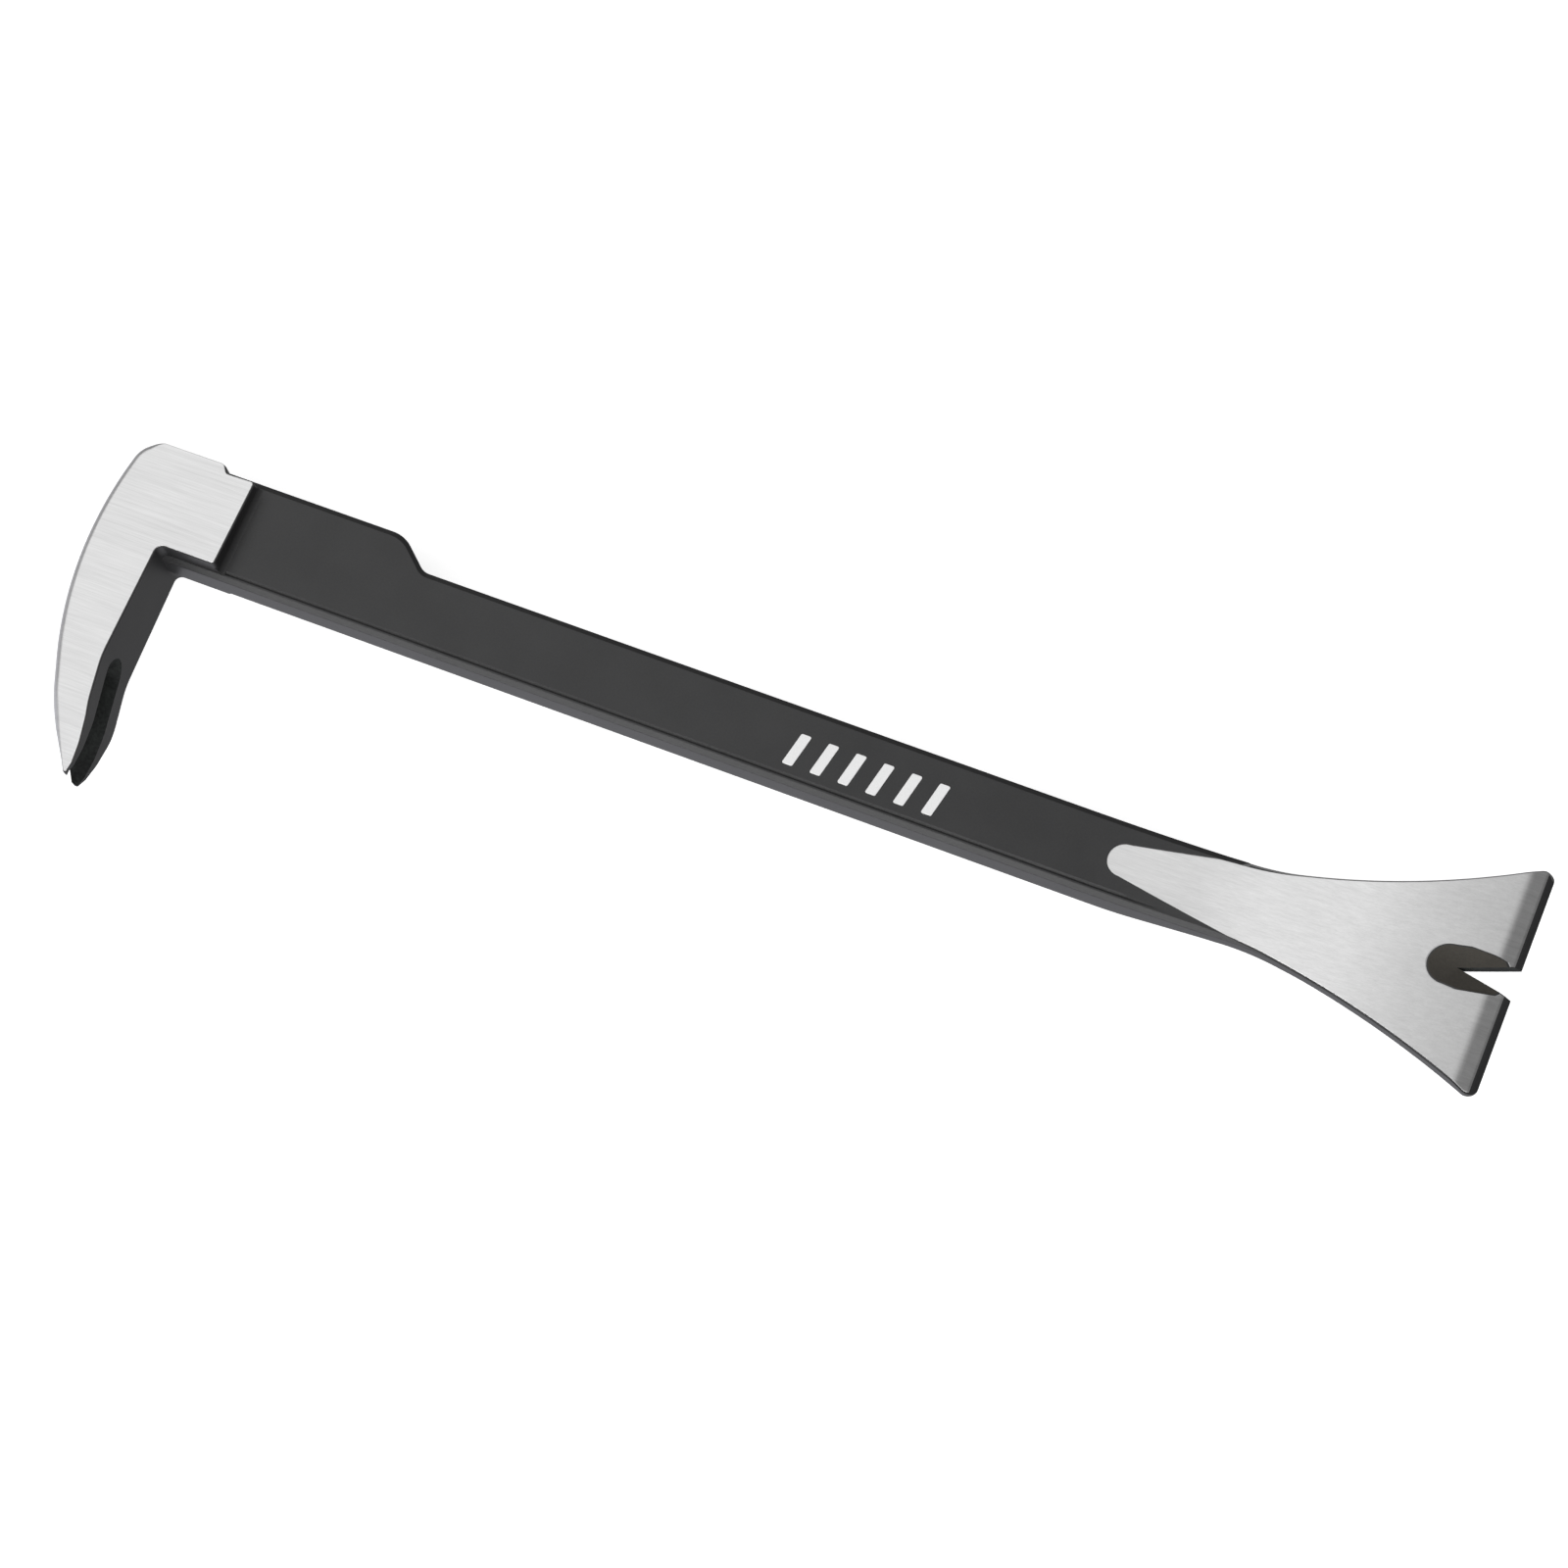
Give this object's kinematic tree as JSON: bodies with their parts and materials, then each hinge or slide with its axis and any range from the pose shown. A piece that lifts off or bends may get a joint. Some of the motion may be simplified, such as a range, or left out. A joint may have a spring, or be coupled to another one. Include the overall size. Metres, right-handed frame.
{
  "type": "claw bar",
  "caption": "Forged steel claw bar with a hooked nail claw, a flat black shank and a bright fishtail blade with a nail notch.",
  "frame": {"origin": "middle of the bar's length and width, at the height of the lowest point of the head", "axes": "+X along the shank towards the fishtail blade, +Y across the broad side towards the striking boss, +Z out of the broad side towards which the blade bends"},
  "size_m": [0.3, 0.0816, 0.0253],
  "materials": {
    "ground_steel": "brushed",
    "black_coat": "satin",
    "white_print": "matte"
  },
  "bodies": {
    "root": {"forged_bar": "ground_steel", "black_coating": "black_coat", "printed_mark": "white_print"}
  },
  "joints": []
}
